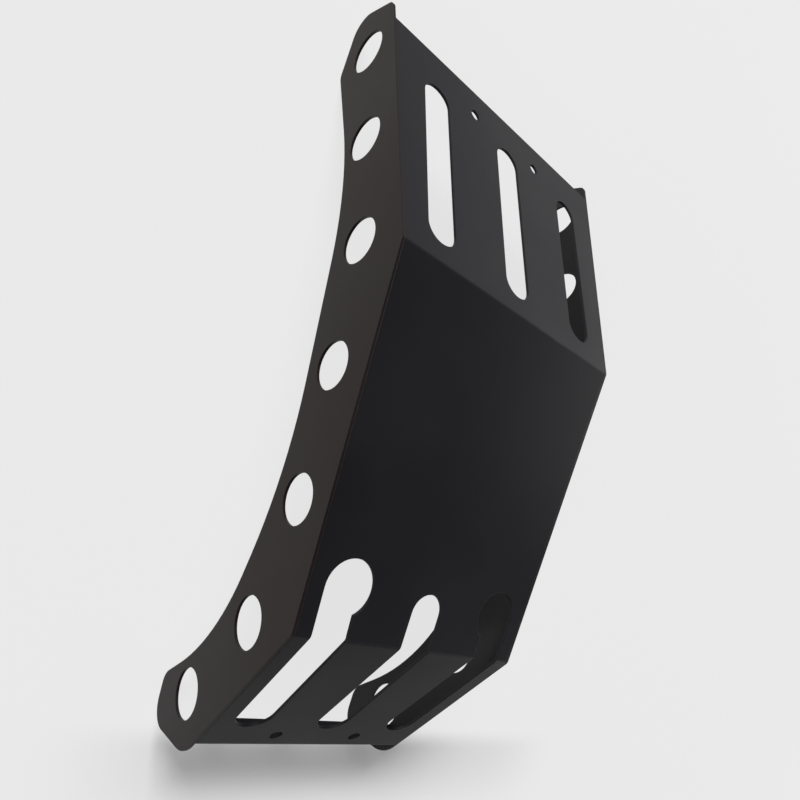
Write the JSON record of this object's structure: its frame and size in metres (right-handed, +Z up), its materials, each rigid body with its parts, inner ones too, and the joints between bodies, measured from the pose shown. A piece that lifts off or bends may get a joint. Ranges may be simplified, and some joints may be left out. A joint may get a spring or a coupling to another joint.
{
  "type": "motorcycle skid plate",
  "caption": "Bent steel underbody guard for a motorcycle: a tapered panel with two cross bends, a rear lip, vents and keyhole slots between two arched side plates with round lightening holes.",
  "frame": {"origin": "centre of the plate's bounding box, on the ground plane its four feet stand on", "axes": "+Y toward the front flat with the three vents, +X to the right seen from above with +Y up the page, +Z up along the outward normal of the middle flat"},
  "size_m": [0.2526, 0.5336, 0.138],
  "materials": {
    "powder_coat": "matt to satin black powder coat"
  },
  "bodies": {
    "root": {"centre_panel": "powder_coat", "left_side_plate": "powder_coat", "right_side_plate": "powder_coat"}
  },
  "joints": []
}
